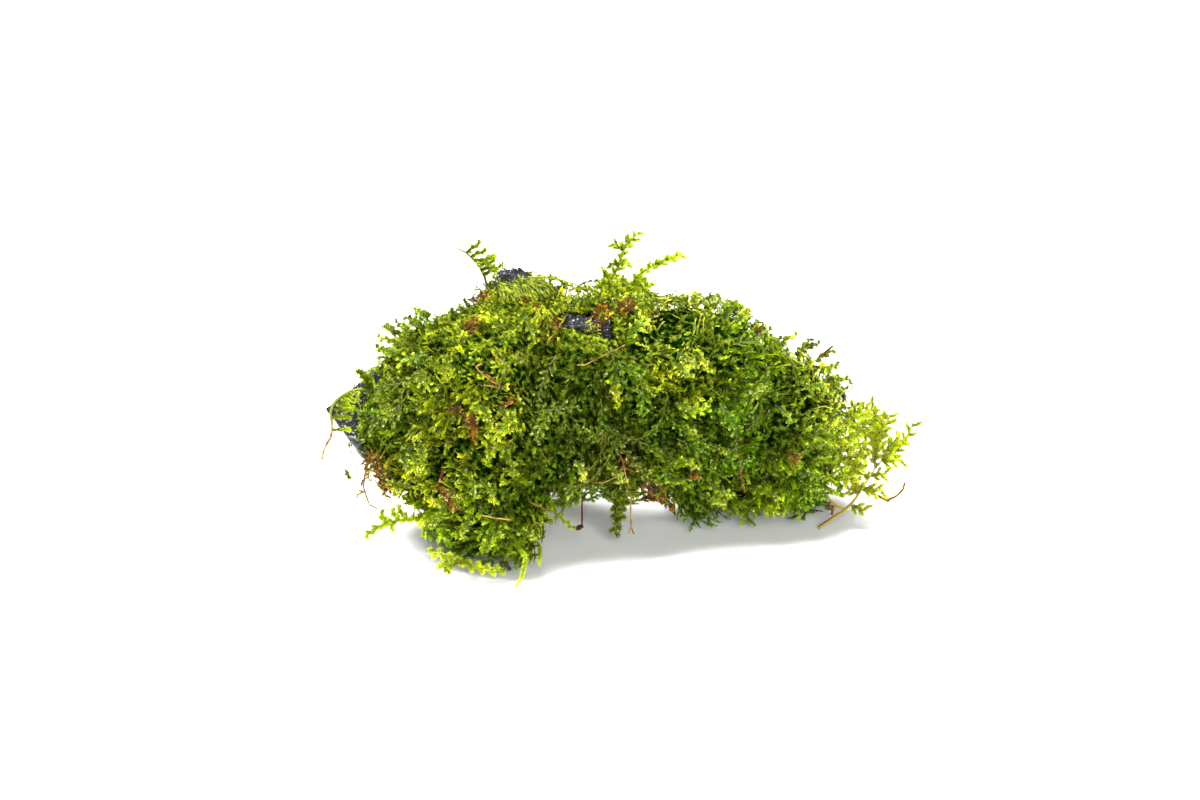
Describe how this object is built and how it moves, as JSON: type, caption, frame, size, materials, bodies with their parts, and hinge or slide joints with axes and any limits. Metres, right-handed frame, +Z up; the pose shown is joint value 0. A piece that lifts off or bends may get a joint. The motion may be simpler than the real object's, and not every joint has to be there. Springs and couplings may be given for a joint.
{
  "type": "moss clump",
  "caption": "Clump of green feather moss grown over a broken dark stone, arched between two feet, with loose fronds and dead strands.",
  "frame": {"origin": "centre of the bounding box, on the surface that the clump rests on", "axes": "+X to the right along the arch as seen from the front, +Y to the back, +Z up"},
  "size_m": [0.1194, 0.0616, 0.0631],
  "materials": {
    "moss": "matte, leafy, moist",
    "fresh_shoot": "matte, leafy, bright yellow-green",
    "dry_strand": "matte, dry brown",
    "fibre": "matte tan",
    "spore_stalk": "satin dark red-brown",
    "stone": "rough, dark, granular with a fine glitter"
  },
  "bodies": {
    "root": {"stone": "stone", "moss_cushion": "moss", "frond_upper_left": "fresh_shoot", "frond_top_middle": "fresh_shoot", "frond_top_right": "fresh_shoot", "sprig_right": "fresh_shoot", "sprig_right_upper": "fresh_shoot", "frond_lower_left": "fresh_shoot", "frond_foot_left": "fresh_shoot", "frond_foot_hanging": "fresh_shoot", "frond_foot_right": "fresh_shoot", "frond_arch_left": "fresh_shoot", "tuft_under_arch": "moss", "fibre_under_arch": "fibre", "spore_stalk": "spore_stalk", "frond_stone_tip": "fresh_shoot", "dead_strand_left": "dry_strand"}
  },
  "joints": []
}
